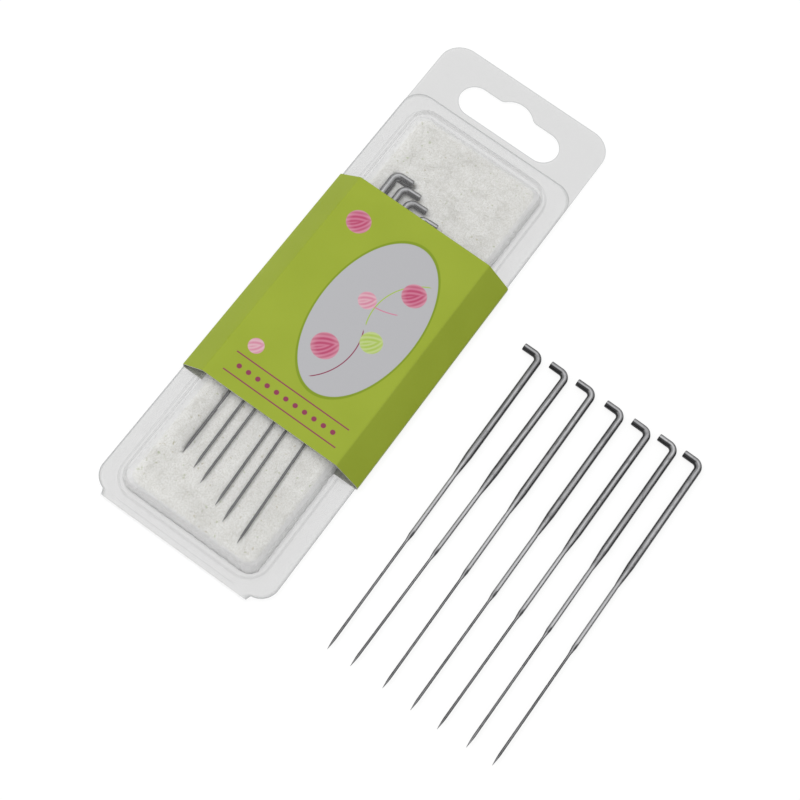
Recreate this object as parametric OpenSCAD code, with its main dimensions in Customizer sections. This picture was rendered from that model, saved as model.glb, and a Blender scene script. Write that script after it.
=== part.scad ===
// Set of felting needles: seven loose needles beside a clear folding pack that holds seven more.
// Millimetres. +Z is up, +Y runs from the fold of the pack to its hang tab, and the set lies on z = 0.

/* [Needle] */
// Overall length, from the point to the outside of the crank
needle_len = 86; // [74:1:96]
// Diameter of the shank
shank_d = 1.8; // [1.5:0.1:2.1]
// Diameter of the middle step
mid_d = 1.1; // [0.9:0.1:1.4]
// Diameter of the circle through the three edges of the blade
blade_d = 0.72; // [0.6:0.02:0.84]
// Length of the blade, with its point
blade_len = 30; // [26:0.5:36]
// Length of the ground point
point_len = 3; // [1.5:0.5:6]
// Length of the cone between the blade and the middle step
blade_cone_len = 2; // [1:0.5:4]
// Length of the middle step
mid_len = 17; // [10:0.5:22]
// Length of the cone between the middle step and the shank
shank_cone_len = 6; // [2:0.5:8]
// Reach of the crank, from the axis of the shank to its end face
crank_reach = 4.7; // [3.5:0.1:5.5]
// Radius of the crank's bend, at the middle of the wire
bend_r = 1.5; // [1.2:0.1:2.2]
// Chamfer round the cut end of the crank
crank_chamfer = 0.15; // [0.05:0.05:0.3]

/* [Barbs] */
// Barbs along each edge of the blade
barbs_per_edge = 3; // [1:1:4]
// Depth of a barb
barb_depth = 0.06; // [0.03:0.01:0.1]
// Length of the slope that leads into a barb
barb_len = 0.6; // [0.3:0.1:1]
// Distance from the point to the first barb
first_barb = 6.4; // [4:0.2:8]
// Distance between barbs on neighbouring edges
barb_pitch = 2.1; // [1.2:0.1:2.2]

/* [Pack] */
// Width of the pack
pack_w = 48.2; // [46:0.2:60]
// Thickness of the clear sheet
sheet_t = 0.35; // [0.25:0.05:0.5]
// Room under the blister's top, above the packed needles
headroom = 0.47; // [0.25:0.01:3]
// Width of the flange beside the blister, on the left
left_land = 3.4; // [3:0.1:5]
// Width of the flange beside the blister, on the right
right_land = 4.2; // [3:0.1:5]
// Width of the flange between the fold and the blister
fold_land = 2.6; // [2:0.1:5]
// Width of the flange past the far end of the blister
far_land = 3.1; // [2.5:0.1:6]
// Radius of the blister's corners where it meets the flange
blister_corner_r = 6; // [5:0.5:9]
// Height of the step round the blister's foot, above the flange
step_h = 1.1; // [0.6:0.1:1.4]
// Width of the ledge on that step
ledge_w = 0.9; // [0.5:0.1:1.2]
// Inward lean of the wall above the ledge
wall_lean = 0.75; // [0.4:0.05:1.2]
// Radius round the top edge of the blister
top_edge_r = 0.9; // [0.6:0.05:1.4]
// Corner radius of both halves beside the fold
fold_corner_r = 4.6; // [3:0.1:6]
// Corner radius of the front half at its far edge
front_corner_r = 5; // [3:0.5:8]
// Distance that the hang tab reaches past the front half
tab_len = 17.6; // [16:0.2:24]
// Corner radius of the hang tab
tab_corner_r = 6; // [3:0.5:9]
// Height of the slot in the hang tab
slot_w = 8.6; // [6:0.2:9]
// Length of the slot, end to end
slot_len = 28.4; // [24:0.2:32]
// Radius of the rise in the middle of the slot, where a peg sits
peg_r = 5.5; // [5:0.1:6]
// Height of that rise above the slot
peg_rise = 2.3; // [1.5:0.1:3]
// Plastic left between the front half's edge and the slot
slot_margin = 1.8; // [1:0.1:3]

/* [Pad] */
// Thickness of the pad
pad_t = 2.4; // [2:0.1:2.6]
// Room between the near end of the pad and the blister
pad_near_room = 0.8; // [0.3:0.1:4]
// Room between the far end of the pad and the blister
pad_far_room = 0.8; // [0.3:0.1:6]
// Room between the near end of the pad and the lowest needle point
point_room = 2.5; // [0.5:0.1:4]
// Room between the far end of the pad and the highest crank
crank_room = 16.8; // [8:0.1:20]

/* [Sleeve] */
// Length of the card sleeve along the pack
sleeve_len = 61.3; // [40:0.5:80]
// Distance from the fold of the pack to the sleeve
sleeve_start = 35; // [20:0.5:40]
// Thickness of the card
card_t = 0.3; // [0.2:0.05:0.4]
// Width of the glued lap inside the sleeve's back
lap_w = 12; // [8:0.5:18]

/* [Loose row] */
// Room between the pack and the point of the first loose needle
row_room = 16.2; // [12:0.2:24]
// Distance of the loose needles' points from the fold of the pack
row_start = 1.7; // [0:0.1:6]

/* [Hidden] */
$fn = 64;

// Clearances
card_gap = 0.1;      // inside of the sleeve to the pack
lap_gap = 0.05;      // glued lap to the back of the pack
half_gap = 0.05;     // between the two closed halves
pad_gap = 0.03;      // pad to the back half
rest_gap = 0.05;     // needles to what they lie on
groove_gap = 0.1;    // groove in the pad to the needle in it
nest_gap = 0.2;      // between one packed crank and the next
pad_side_room = 0.8; // long sides of the pad to the inside of the blister
overlap = 0.2;       // how far joined shapes run into each other

// Where the loose needles lie: free room before each, and how far each leans to the right
loose_room = [0, 0.6, 2.8, 2.0, 1.4, 1.7, 1.1];
loose_turn = [-0.1, 0.8, 0.15, 0.6, 0.9, 0.7, 0.8];
loose_shift = [0, 0, 0.2, -0.1, 0, 0.5, 0.7];
loose_count = len(loose_room);

// Where the packed needles lie: shank at the crank and point, from the blister's left foot
packed_head_x = [7.4, 10.9, 14.2, 18.5, 21.6, 26.6];
packed_point_x = [9.6, 13.7, 17.0, 22.7, 26.2, 31.7];
upper_count = len(packed_head_x);
lower_point_x = 9.2; // the needle that lies in the pad, under the first one
packed_count = upper_count + 1;

// Heights, from the surface up
back_z = 2 * card_t + lap_gap;
half_z = back_z + sheet_t + half_gap;
flange_top = half_z + sheet_t;
pad_z = back_z + sheet_t + pad_gap;
pad_top = pad_z + pad_t;
shank_r = shank_d / 2;
upper_z = pad_top + rest_gap + shank_r;
lower_z = upper_z - shank_d - rest_gap;
blister_top = upper_z + shank_r + headroom + sheet_t;

// Needle stations, from the point
mid_r = mid_d / 2;
blade_r = blade_d / 2;
blade_in_r = blade_r / 2; // middle of the triangle to the middle of a side
mid_start = blade_len + blade_cone_len;
mid_end = mid_start + mid_len;
shank_start = mid_end + shank_cone_len;
crank_y = needle_len - shank_r;
shank_end = crank_y - bend_r;
point_tip_r = 0.03;

// Blister plan, from the left edge of the pack and from its fold
step_lean = 0.25; // inward lean of the step's own wall
wall_in = step_lean + ledge_w + wall_lean + top_edge_r; // foot to the flat top
foot_left = left_land;
foot_right = pack_w - right_land;
foot_near = fold_land;
inner_in = sheet_t + step_lean + ledge_w + wall_lean; // foot to the narrowest part of the inside
pad_corner_r = blister_corner_r - inner_in - pad_side_room;
pad_left = foot_left + inner_in + pad_side_room;
pad_right = foot_right - inner_in - pad_side_room;
pad_near = foot_near + inner_in + pad_near_room;
lowest_point = pad_near + point_room;
nest_step = shank_d + nest_gap;
highest_crank = lowest_point + needle_len + (upper_count - 1) * nest_step;
pad_far = highest_crank + crank_room;
foot_far = pad_far + pad_far_room + inner_in;
front_len = foot_far + far_land;
pack_len = front_len + tab_len;
fold_r = (flange_top - back_z) / 2;
slot_y = front_len + slot_margin + slot_w / 2;
peg_y = slot_y + slot_w / 2 + peg_rise - peg_r;

// Sleeve plan
sleeve_fold_in = left_land + wall_in - top_edge_r; // pack edge to the fold over the blister, on the left
sleeve_fold_in_right = right_land + wall_in - top_edge_r;

// Loose row: each crank points left, so the room between needles is measured from it
row_step = [for (i = [0:loose_count - 1]) i == 0 ? 0 : crank_reach + shank_r + loose_room[i]];
function row_x(i) = i == 0 ? pack_w + row_room : row_x(i - 1) + row_step[i];
function bend_edge_x(i) =
    row_x(i) - bend_r * cos(loose_turn[i]) + shank_end * sin(loose_turn[i]) + bend_r + shank_r;

// The whole set is centred on its own footprint
set_left = -card_gap - card_t;
set_right = max([for (i = [0:loose_count - 1]) bend_edge_x(i)]);
set_near = -fold_r;
set_far = pack_len;
set_move = [-(set_left + set_right) / 2, -(set_near + set_far) / 2, 0];

PACKED = [for (i = [1:packed_count]) str("packed_needle_", i)];
LOOSE = [for (i = [1:loose_count]) str("loose_needle_", i)];

// Flat rounded rectangle with its own radius at the near and far corners
module rounded(x0, y0, x1, y1, r_near, r_far) {
    translate([x0 + r_near, y0]) square([x1 - x0 - 2 * r_near, r_near]);
    translate([x0, y0 + r_near]) square([x1 - x0, y1 - y0 - r_near - r_far]);
    translate([x0 + r_far, y1 - r_far]) square([x1 - x0 - 2 * r_far, r_far]);
    for (x = [x0 + r_near, x1 - r_near]) translate([x, y0 + r_near]) circle(r_near);
    for (x = [x0 + r_far, x1 - r_far]) translate([x, y1 - r_far]) circle(r_far);
}

// A plate of that outline from height z up
module plate(z, t) {
    translate([0, 0, z]) linear_extrude(t) children();
}

// The turned part of a needle, standing on its point
module turned_wire() {
    rotate_extrude() polygon([
        [0, blade_len], [blade_in_r, blade_len], [mid_r, mid_start], [mid_r, mid_end],
        [shank_r, shank_start], [shank_r, shank_end], [0, shank_end]]);
}

// The three-edged blade, ground to a point
module blade() {
    intersection() {
        linear_extrude(mid_start) circle(blade_r, $fn = 3);
        rotate_extrude() polygon([
            [0, 0], [point_tip_r, 0], [blade_r + point_tip_r, point_len],
            [blade_r + point_tip_r, mid_start], [0, mid_start]]);
    }
}

// One barb: a slope into the edge that ends in a step facing the point
module barb_cut(edge, y) {
    rotate([0, 0, 120 * edge]) translate([0, blade_r, y]) rotate([90, 0, 90])
        linear_extrude(blade_d, center = true)
            polygon([[barb_depth, 0], [0, 0], [-barb_depth, barb_len], [barb_depth, barb_len]]);
}

// The crank: a quarter bend and a short straight end, in the plane of the sheet
module crank() {
    translate([-bend_r, shank_end, 0]) {
        rotate_extrude(angle = 90) translate([bend_r, 0]) circle(shank_r);
        translate([0, bend_r, 0]) rotate([0, -90, 0]) rotate_extrude() polygon([
            [0, 0], [shank_r, 0], [shank_r, crank_reach - bend_r - crank_chamfer],
            [shank_r - crank_chamfer, crank_reach - bend_r], [0, crank_reach - bend_r]]);
    }
}

// A whole needle: point at the origin, shank along +Y, crank towards -X
module needle() {
    rotate([-90, 0, 0]) {
        turned_wire();
        difference() {
            rotate([0, 0, 90]) blade();
            for (edge = [0:2], i = [0:barbs_per_edge - 1])
                barb_cut(edge, first_barb + (3 * i + edge) * barb_pitch);
        }
    }
    crank();
}

function packed_turn(i) = atan((head_x(i) - point_x(i)) / needle_len);
function head_x(i) = foot_left + (i < upper_count ? packed_head_x[i] : packed_head_x[0]);
function point_x(i) = foot_left + (i < upper_count ? packed_point_x[i] : lower_point_x);
function point_y(i) = lowest_point + (i < upper_count ? upper_count - 1 - i : upper_count - 1) * nest_step;
function packed_z(i) = i < upper_count ? upper_z : lower_z;

// Moves its child to where packed needle i lies
module at_packed(i) {
    translate(set_move + [point_x(i), point_y(i), packed_z(i)])
        rotate([0, 0, -packed_turn(i)]) mirror([1, 0, 0]) children();
}

module packed_needle(i) {
    color("dimgray") at_packed(i) needle();
}

module loose_needle(i) {
    color("slategray") translate(set_move + [row_x(i), row_start + loose_shift[i], shank_r])
        rotate([0, 0, -loose_turn[i]]) needle();
}

// Flat sheet with the hang tab and its slot
module back_half() {
    color([0.88, 0.92, 0.94, 0.4]) translate(set_move) plate(back_z, sheet_t) difference() {
        rounded(0, 0, pack_w, pack_len, fold_corner_r, tab_corner_r);
        slot_run = slot_len - slot_w;
        for (side = [-1, 1]) translate([pack_w / 2 + side * slot_run / 2, slot_y]) circle(slot_w / 2);
        translate([(pack_w - slot_run) / 2, slot_y - slot_w / 2]) square([slot_run, slot_w]);
        translate([pack_w / 2, slot_y]) intersection() {
            translate([0, peg_y - slot_y]) circle(peg_r);
            translate([-peg_r, 0]) square([2 * peg_r, slot_w / 2 + peg_rise]);
        }
    }
}

// Section of the blister's wall: x is measured out from the corner centres, y is height
module wall_section() {
    r = blister_corner_r;
    step_z = flange_top + step_h;
    ledge_x = r - step_lean - ledge_w;
    edge_x = ledge_x - wall_lean - top_edge_r; // centre of the rounded top edge
    edge_z = blister_top - top_edge_r;
    flat_x = edge_x - overlap;
    arc = [for (a = [0:15:90]) [cos(a), sin(a)]];
    outside = concat(
        [[r, half_z], [r, flange_top], [r - step_lean, step_z], [ledge_x, step_z]],
        [for (p = arc) [edge_x, edge_z] + top_edge_r * p], [[flat_x, blister_top]]);
    inside = concat(
        [[flat_x, blister_top - sheet_t]],
        [for (i = [len(arc) - 1:-1:0]) [edge_x, edge_z] + (top_edge_r - sheet_t) * arc[i]],
        [[ledge_x - sheet_t, step_z - sheet_t], [r - step_lean - sheet_t, step_z - sheet_t],
         [r - sheet_t, flange_top - sheet_t], [r - sheet_t, half_z]]);
    polygon(concat(outside, inside));
}

// Clear half with the blister: flange, stepped wall and flat top in one sheet
module front_half() {
    r = blister_corner_r;
    x0 = foot_left + r;
    x1 = foot_right - r;
    y0 = foot_near + r;
    y1 = foot_far - r;
    open_r = r - sheet_t / 2;
    flat_r = r - wall_in - overlap / 2;
    color([0.88, 0.92, 0.94, 0.4]) translate(set_move) {
        plate(half_z, sheet_t) difference() {
            rounded(0, 0, pack_w, front_len, fold_corner_r, front_corner_r);
            rounded(x0 - open_r, y0 - open_r, x1 + open_r, y1 + open_r, open_r, open_r);
        }
        plate(blister_top - sheet_t, sheet_t)
            rounded(x0 - flat_r, y0 - flat_r, x1 + flat_r, y1 + flat_r, flat_r, flat_r);
        for (c = [[x1, y1, 0], [x0, y1, 90], [x0, y0, 180], [x1, y0, 270]])
            translate([c[0], c[1], 0]) rotate([0, 0, c[2]]) rotate_extrude(angle = 90) wall_section();
        for (w = [[x1, y0, 0, y1 - y0], [x1, y1, 90, x1 - x0], [x0, y1, 180, y1 - y0], [x0, y0, 270, x1 - x0]])
            translate([w[0], w[1], 0]) rotate([0, 0, w[2]]) translate([0, w[3], 0])
                rotate([90, 0, 0]) linear_extrude(w[3]) wall_section();
    }
}

// The folded strip that joins the two halves
module living_hinge() {
    color([0.88, 0.92, 0.94, 0.4])
        translate(set_move + [fold_corner_r, 0, back_z + fold_r]) rotate([90, 0, 90])
            linear_extrude(pack_w - 2 * fold_corner_r) intersection() {
                difference() {
                    circle(fold_r);
                    circle(fold_r - sheet_t);
                }
                translate([-2 * fold_r, -2 * fold_r]) square([2 * fold_r, 4 * fold_r]);
            }
}

// Fibre pad, with a groove where the lowest needle has sunk in
module pad() {
    groove_r = shank_r + groove_gap;
    color("white") difference() {
        translate(set_move) plate(pad_z, pad_t)
            rounded(pad_left, pad_near, pad_right, pad_far, pad_corner_r, pad_corner_r);
        at_packed(upper_count) translate([0, 0, -groove_r]) linear_extrude(pad_t + groove_r) {
            translate([-groove_r, -overlap]) square([2 * groove_r, shank_end + 2 * overlap]);
            translate([-bend_r, shank_end]) intersection() {
                difference() {
                    circle(bend_r + groove_r);
                    circle(bend_r - groove_r);
                }
                square(bend_r + groove_r);
            }
            translate([-crank_reach - groove_gap, crank_y - groove_r])
                square([crank_reach + groove_gap - bend_r + overlap, 2 * groove_r]);
        }
    }
}

// Outline moved outwards by d, for a convex list of points in counter-clockwise order
function outset(pts, d) = [for (i = [0:len(pts) - 1])
    let(n = len(pts), a = pts[(i + n - 1) % n], b = pts[i], c = pts[(i + 1) % n],
        u = (b - a) / norm(b - a), v = (c - b) / norm(c - b))
        b + d * ([u[1], -u[0]] + [v[1], -v[0]]) / (1 + u * v)];

// Card wrapped right round the pack: flat back, short edges, slopes up to the blister's top
module sleeve() {
    inside = [
        [-card_gap, card_t], [pack_w + card_gap, card_t],
        [pack_w + card_gap, flange_top + card_gap],
        [pack_w - sleeve_fold_in_right, blister_top + card_gap],
        [sleeve_fold_in, blister_top + card_gap],
        [-card_gap, flange_top + card_gap]];
    color("yellowgreen") translate(set_move + [0, sleeve_start + sleeve_len, 0])
        rotate([90, 0, 0]) linear_extrude(sleeve_len) {
            difference() {
                polygon(outset(inside, card_t));
                polygon(inside);
            }
            translate([pack_w + card_gap - lap_w, card_t - overlap / 2])
                square([lap_w + card_t / 2, card_t + overlap / 2]);
        }
}

back_half();
front_half();
living_hinge();
pad();
sleeve();
for (i = [0:packed_count - 1]) packed_needle(i);
for (i = [0:loose_count - 1]) loose_needle(i);
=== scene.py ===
# A set of felting needles: a clear folding pack with a printed sleeve, and seven loose needles beside it.
# Sizes in the dictionaries are millimetres. Places come from the frame's own boxes.
import math

import bmesh
import bpy
import numpy as np
from mathutils import Matrix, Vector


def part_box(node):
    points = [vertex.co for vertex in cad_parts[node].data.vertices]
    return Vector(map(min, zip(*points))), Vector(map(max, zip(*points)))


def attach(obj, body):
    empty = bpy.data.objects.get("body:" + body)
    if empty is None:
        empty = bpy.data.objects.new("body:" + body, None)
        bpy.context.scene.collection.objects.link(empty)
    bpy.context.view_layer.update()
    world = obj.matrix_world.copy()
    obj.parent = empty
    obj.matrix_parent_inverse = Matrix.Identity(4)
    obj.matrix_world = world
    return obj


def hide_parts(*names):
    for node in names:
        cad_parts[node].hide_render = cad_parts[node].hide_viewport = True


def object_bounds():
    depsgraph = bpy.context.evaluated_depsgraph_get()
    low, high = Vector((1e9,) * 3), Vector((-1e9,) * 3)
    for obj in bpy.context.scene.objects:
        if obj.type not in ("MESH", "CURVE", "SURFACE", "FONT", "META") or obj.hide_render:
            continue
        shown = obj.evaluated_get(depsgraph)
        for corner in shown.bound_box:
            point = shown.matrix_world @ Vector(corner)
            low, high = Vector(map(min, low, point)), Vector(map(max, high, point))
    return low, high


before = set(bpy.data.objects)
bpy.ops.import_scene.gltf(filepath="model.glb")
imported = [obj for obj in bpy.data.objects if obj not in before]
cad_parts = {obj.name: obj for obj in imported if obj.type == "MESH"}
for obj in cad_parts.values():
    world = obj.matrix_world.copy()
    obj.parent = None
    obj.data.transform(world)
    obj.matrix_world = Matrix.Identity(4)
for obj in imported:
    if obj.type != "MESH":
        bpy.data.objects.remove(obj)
cadLow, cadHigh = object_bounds()
mm = 0.001

backLow, backHigh = (np.array(p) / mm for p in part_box("back_half"))
frontLow, frontHigh = (np.array(p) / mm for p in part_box("front_half"))
padLow, padHigh = (np.array(p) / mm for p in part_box("pad"))
sleeveLow, sleeveHigh = (np.array(p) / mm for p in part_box("sleeve"))
packOrigin = np.array([backLow[0], backLow[1], 0.0])  # left edge of the pack, and its fold
packWidth = backHigh[0] - backLow[0]
packLength = backHigh[1] - backLow[1]
frontLength = frontHigh[1] - frontLow[1]
sheetThickness = backHigh[2] - backLow[2]
print("frame loaded, pack", round(packWidth, 2), "by", round(packLength, 2), "mm")


# Meshes: everything is worked out as whole arrays in millimetres, in the pack's own place.

weldReach, sliverReach = 2e-6, 1e-7  # metres


def gridFaces(rows, columns, wrapRows=False, wrapColumns=False):
    # Quads between neighbouring points of a grid whose points run row by row; a wrapped side meets itself.
    r, c = np.meshgrid(
        np.arange(rows if wrapRows else rows - 1),
        np.arange(columns if wrapColumns else columns - 1),
        indexing="ij",
    )
    r2, c2 = (r + 1) % rows, (c + 1) % columns
    quads = [r * columns + c, r * columns + c2, r2 * columns + c2, r2 * columns + c]
    return np.stack(quads, -1).reshape(-1, 4)


def makePiece(name, points, faces, sharpAt=40, values=None, uv=None, slots=None, weld=True):
    # A mesh of points given in millimetres in the pack's place, its doubles merged, its faces turned outwards
    mesh = bpy.data.meshes.new(name)
    place = (np.asarray(points, float).reshape(-1, 3) + packOrigin) * mm
    mesh.from_pydata(place.tolist(), [], faces if isinstance(faces, list) else faces.tolist())
    for key, value in (values or {}).items():
        value = np.asarray(value, np.float32)
        kind = "FLOAT" if value.ndim == 1 else "FLOAT_VECTOR"
        layer = mesh.attributes.new(key, kind, "POINT")
        layer.data.foreach_set("value" if kind == "FLOAT" else "vector", value.ravel())
    if uv is not None:
        corner = np.zeros(len(mesh.loops), np.int32)
        mesh.loops.foreach_get("vertex_index", corner)
        mesh.uv_layers.new(name="UVMap").data.foreach_set("uv", np.asarray(uv, np.float32)[corner].ravel())
    if slots is not None:
        mesh.polygons.foreach_set("material_index", np.asarray(slots, np.int32))
    if weld:
        work = bmesh.new()
        work.from_mesh(mesh)
        bmesh.ops.remove_doubles(work, verts=work.verts, dist=weldReach)
        bmesh.ops.dissolve_degenerate(work, edges=work.edges, dist=sliverReach)
        bmesh.ops.recalc_face_normals(work, faces=work.faces)
        work.to_mesh(mesh)
        work.free()
    mesh.shade_smooth()
    mesh.set_sharp_from_angle(angle=math.radians(sharpAt))
    piece = bpy.data.objects.new(name, mesh)
    bpy.context.scene.collection.objects.link(piece)
    return piece


def roundedBox(x0, y0, x1, y1, nearRadius, farRadius, arcSteps=18, sideSteps=64, endSteps=26):
    # Outline of a rounded rectangle, anticlockwise from its near right corner: four arcs and straight runs
    # between them, with points that crowd to both ends of a run. Every outline has as many points, so rings
    # of different outlines match one to one.
    points, normals = [], []
    corners = [
        (x1 - nearRadius, y0 + nearRadius, nearRadius, -90, sideSteps),
        (x1 - farRadius, y1 - farRadius, farRadius, 0, endSteps),
        (x0 + farRadius, y1 - farRadius, farRadius, 90, sideSteps),
        (x0 + nearRadius, y0 + nearRadius, nearRadius, 180, endSteps),
    ]
    for k, (cx, cy, radius, start, steps) in enumerate(corners):
        angle = np.radians(start + np.linspace(0, 90, arcSteps + 1))
        turn = np.stack([np.cos(angle), np.sin(angle)], -1)
        arc = np.array([cx, cy]) + radius * turn
        nx, ny, nextRadius, nextStart, _ = corners[(k + 1) % 4]
        first = np.radians(nextStart)
        goal = np.array([nx, ny]) + nextRadius * np.array([np.cos(first), np.sin(first)])
        share = (1 - np.cos(np.linspace(0, math.pi, steps + 1)[1:-1, None])) / 2
        points += [arc, arc[-1] + (goal - arc[-1]) * share]
        normals += [turn, np.repeat(turn[-1:], steps - 1, 0)]
    return np.concatenate(points), np.concatenate(normals)


def filletedLine(points, radii, steps=6):
    # An open line of points with each inner corner rounded to its radius by an arc that touches both runs
    points = np.array(points, float)
    line = [points[:1]]
    for before, corner, after, radius in zip(points, points[1:], points[2:], radii):
        a = (before - corner) / np.linalg.norm(before - corner)
        b = (after - corner) / np.linalg.norm(after - corner)
        half = math.acos(float(np.clip(a @ b, -1, 1))) / 2
        reach = radius / math.tan(half)
        centre = corner + (a + b) / np.linalg.norm(a + b) * radius / math.sin(half)
        start, end = corner + a * reach - centre, corner + b * reach - centre
        sweep = math.pi - 2 * half
        share = np.linspace(0, 1, steps + 1)[:, None]
        arc = (np.sin((1 - share) * sweep) * start + np.sin(share * sweep) * end) / math.sin(sweep)
        line.append(centre + arc)
    return np.concatenate(line + [points[-1:]])


def lineNormals(line, closed=False):
    # Unit normals at the points of a plane line, square to the mean of the two runs that meet there.
    if closed:
        run = np.roll(line, -1, 0) - line
        run /= np.linalg.norm(run, axis=1)[:, None]
        mean = run + np.roll(run, 1, 0)
    else:
        run = np.diff(line, axis=0)
        run /= np.linalg.norm(run, axis=1)[:, None]
        mean = np.concatenate([run[:1], run[1:] + run[:-1], run[-1:]])
    mean /= np.linalg.norm(mean, axis=1)[:, None]
    return np.stack([mean[:, 1], -mean[:, 0]], -1)


def foldNotch(flat, size):
    # The die leaves a notch beside each end of the fold: corner points move up by its depth, less further
    # from the fold and not at all inside the tips, which so stand out as points.
    x, y = flat.T
    inward = np.where(x < packWidth / 2, x - size["leftTip"], packWidth - x - size["rightTip"])
    lift = size["notch"] * (1 - smoothStep(*size["flank"], inward)) * (1 - smoothStep(*size["fade"], y))
    moved = flat + np.stack([0 * lift, lift], -1)
    return moved, lineNormals(moved, closed=True)


def ring(flat, height):
    # A plane outline lifted to a height, or to a height for each point.
    return np.concatenate([flat, np.broadcast_to(np.asarray(height, float), len(flat))[:, None]], 1)


def smoothStep(low, high, value):
    # 0 below low, 1 above high, and a smooth S between them.
    t = np.clip((value - low) / (high - low), 0, 1)
    return t * t * (3 - 2 * t)


def waves(x, y, seed, size):
    # A gentle uneven surface, mostly between -1 and 1: twice the mean of nine sine waves of about this
    # length in random directions.
    draw = np.random.default_rng(seed)
    total = np.zeros(np.broadcast(x, y).shape)
    for _ in range(9):
        angle, phase, stretch = draw.uniform(0, math.tau, 2).tolist() + [draw.uniform(0.6, 1.7)]
        k = math.tau / (size * stretch)
        total = total + np.sin(k * (x * math.cos(angle) + y * math.sin(angle)) + phase)
    return total / 4.5


# Nodes


def hexColour(code):
    # sRGB hex to the linear numbers that shaders take
    part = np.array([int(code[i : i + 2], 16) for i in (1, 3, 5)]) / 255
    linear = np.where(part <= 0.04045, part / 12.92, ((part + 0.055) / 1.055) ** 2.4)
    return (*linear.tolist(), 1.0)


def addNode(tree, kind, inputs=(), output=0, **settings):
    # One node with its settings and links. An input is a number, a hex colour or the socket that feeds it,
    # and inputs are listed from the first one on or given by number or name. It returns the chosen output.
    node = tree.nodes.new("ShaderNode" + kind)
    for key, value in settings.items():
        setattr(node, key, value)
    for key, value in inputs.items() if isinstance(inputs, dict) else enumerate(inputs):
        if isinstance(value, bpy.types.NodeSocket):
            tree.links.new(value, node.inputs[key])
        else:
            node.inputs[key].default_value = hexColour(value) if isinstance(value, str) else value
    return node.outputs[output] if len(node.outputs) else node


def layColours(tree, base, *layers):
    # Colours laid over a base one after another. A layer is (pattern, low, high, share, colour): it hides
    # nothing where the pattern is at low, this share of what lies below where it is at high, and evenly
    # between.
    for pattern, low, high, share, colour in layers:
        cover = addNode(tree, "MapRange", [pattern, low, high, 0, share])
        base = addNode(tree, "Mix", {0: cover, 6: base, 7: colour}, 2, data_type="RGBA")
    return base


def newMaterial(name):
    # A material with an empty tree
    material = bpy.data.materials.new(name)
    material.use_nodes = True
    material.node_tree.nodes.clear()
    return material, material.node_tree


# Camera: fitted to the straight edges of the pack and to the needles' points and cranks.

cameraView = {
    "target": (43.94, 58.51, 0.0),  # in the pack's place
    "distance": 382.03,
    "elevation": 69.56,
    "azimuth": 18.41,
    "roll": 17.80,
    "lens": 74.79,
    "sensor": 36.0,
    "clip": (10, 20000),
}


def makeCamera(size):
    # The camera stands at this distance from the target, in the direction of azimuth and elevation, and is
    # rolled about that direction: its right and up are turned by the roll.
    elevation, azimuth, roll = (math.radians(size[k]) for k in ("elevation", "azimuth", "roll"))
    level = math.cos(elevation)
    back = np.array([math.sin(azimuth) * level, -math.cos(azimuth) * level, math.sin(elevation)])
    right = np.array([math.cos(azimuth), math.sin(azimuth), 0.0])
    up = np.cross(back, right)
    rolledRight = math.cos(roll) * right + math.sin(roll) * up
    rolledUp = -math.sin(roll) * right + math.cos(roll) * up
    data = bpy.data.cameras.new("camera")
    data.lens, data.sensor_width = size["lens"], size["sensor"]
    data.clip_start, data.clip_end = (reach * mm for reach in size["clip"])
    camera = bpy.data.objects.new("camera", data)
    place = (np.array(size["target"]) + packOrigin + back * size["distance"]) * mm
    matrix = np.eye(4)
    matrix[:3, 0], matrix[:3, 1], matrix[:3, 2], matrix[:3, 3] = rolledRight, rolledUp, back, place
    camera.matrix_world = Matrix(matrix.tolist())
    bpy.context.scene.collection.objects.link(camera)
    bpy.context.scene.camera = camera


makeCamera(cameraView)


# Light: a large soft lamp from the left and a faint one from the right, in an even white room. The floor
# and the room read as plain white.

studio = {
    "world": 0.64,  # what the room adds to matt surfaces
    "key": {"from": (-0.47, -0.06, 0.88), "distance": 620, "size": 520, "power": 1.6},
    "side": {"from": (0.60, -0.10, 0.79), "distance": 620, "size": 400, "power": 0.1},
    "floorGlow": 0.82,
    "floorMatt": "#808080",
    "floorSize": 12000,
    "floorDrop": 0.05,
    "cardInk": "#2a2a2b",
    "cardAway": 450,
    "cards": {"near": 170, "far": 60, "left": 130, "right": 230},  # heights
}


def seenDirectly(tree):
    # 1 for what is seen, straight or in a mirror or through clear plastic, and 0 for light on matt surfaces
    rays = addNode(tree, "LightPath").node.outputs
    seen = addNode(tree, "Math", [rays["Is Camera Ray"], rays["Is Glossy Ray"]], operation="MAXIMUM")
    return addNode(tree, "Math", [seen, rays["Is Transmission Ray"]], operation="MAXIMUM")


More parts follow.
